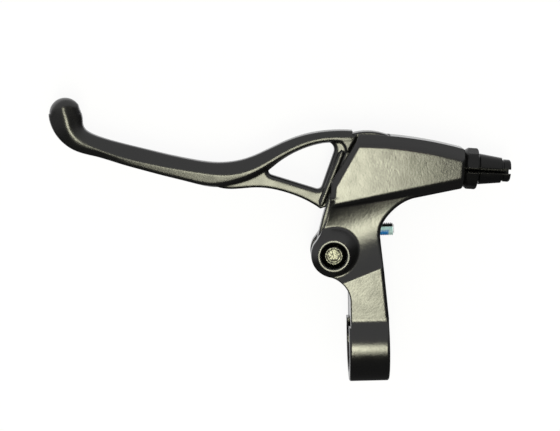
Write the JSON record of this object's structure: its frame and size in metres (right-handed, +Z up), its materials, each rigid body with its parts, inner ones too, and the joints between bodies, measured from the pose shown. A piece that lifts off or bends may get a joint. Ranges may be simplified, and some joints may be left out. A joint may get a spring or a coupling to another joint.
{
  "type": "bicycle brake lever",
  "caption": "Bicycle brake lever: a curved hinged blade with a cut-out, on a body that clamps to a flat handlebar, with a barrel cable adjuster and a reach screw.",
  "frame": {"origin": "centre of the handlebar clamp bore", "axes": "+X along the handlebar towards the cable adjuster, +Y forward from the bar to the lever blade, +Z up out of the lever's top face"},
  "size_m": [0.1758, 0.1128, 0.0323],
  "materials": {
    "black_body": "semi-gloss black coat on cast aluminium",
    "black_blade": "semi-gloss black coat on forged aluminium",
    "black_adjuster": "black anodised turned aluminium",
    "black_steel": "black oxide on steel",
    "zinc_steel": "zinc plated",
    "nylon": "natural nylon",
    "black_plastic": "moulded bearing plastic",
    "brass_anchor": "turned",
    "blue_patch": "dried thread-locking compound"
  },
  "bodies": {
    "body": {"lever_body": "black_body", "pivot_bolt": "black_steel", "pivot_nut": "zinc_steel", "pivot_nut_insert": "nylon", "clamp_bolt": "black_steel", "clamp_washer": "zinc_steel"},
    "lever": {"lever_blade": "black_blade", "upper_pivot_bush": "black_plastic", "lower_pivot_bush": "black_plastic"},
    "anchor": {"cable_anchor": "brass_anchor"},
    "lock_ring": {"adjuster_lock_ring": "black_adjuster"},
    "barrel": {"barrel_adjuster": "black_adjuster"},
    "reach": {"reach_screw": "black_steel", "thread_lock_patch": "blue_patch"}
  },
  "joints": [
    {"name": "lever_pivot", "type": "hinge", "parent": "body", "child": "lever", "pos_m": [-0.0129, 0.0364, 0], "axis": [0, 0, 1], "range_deg": [0, 34]},
    {"name": "anchor_turn", "type": "hinge", "parent": "lever", "child": "anchor", "pos_m": [0.0006, 0.07092, 0], "axis": [0, 0, 1], "range_deg": [-34, 0]},
    {"name": "adjuster_travel", "type": "slide", "parent": "body", "child": "lock_ring", "axis": [0.9962, -0.0872, 0], "range_m": [0, 0.0045]},
    {"name": "barrel_turn", "type": "hinge", "parent": "lock_ring", "child": "barrel", "pos_m": [0.03735, 0.0677, 0], "axis": [0.9962, -0.0872, 0], "range_deg": [0, 1620]},
    {"name": "reach_screw_travel", "type": "slide", "parent": "body", "child": "reach", "axis": [1, 0, 0], "range_m": [0, 0.003]}
  ],
  "couplings": [
    {"joint": "anchor_turn", "follows": "lever_pivot", "ratio": -1},
    {"joint": "barrel_turn", "follows": "adjuster_travel", "rad_per_m": 6283.2}
  ]
}
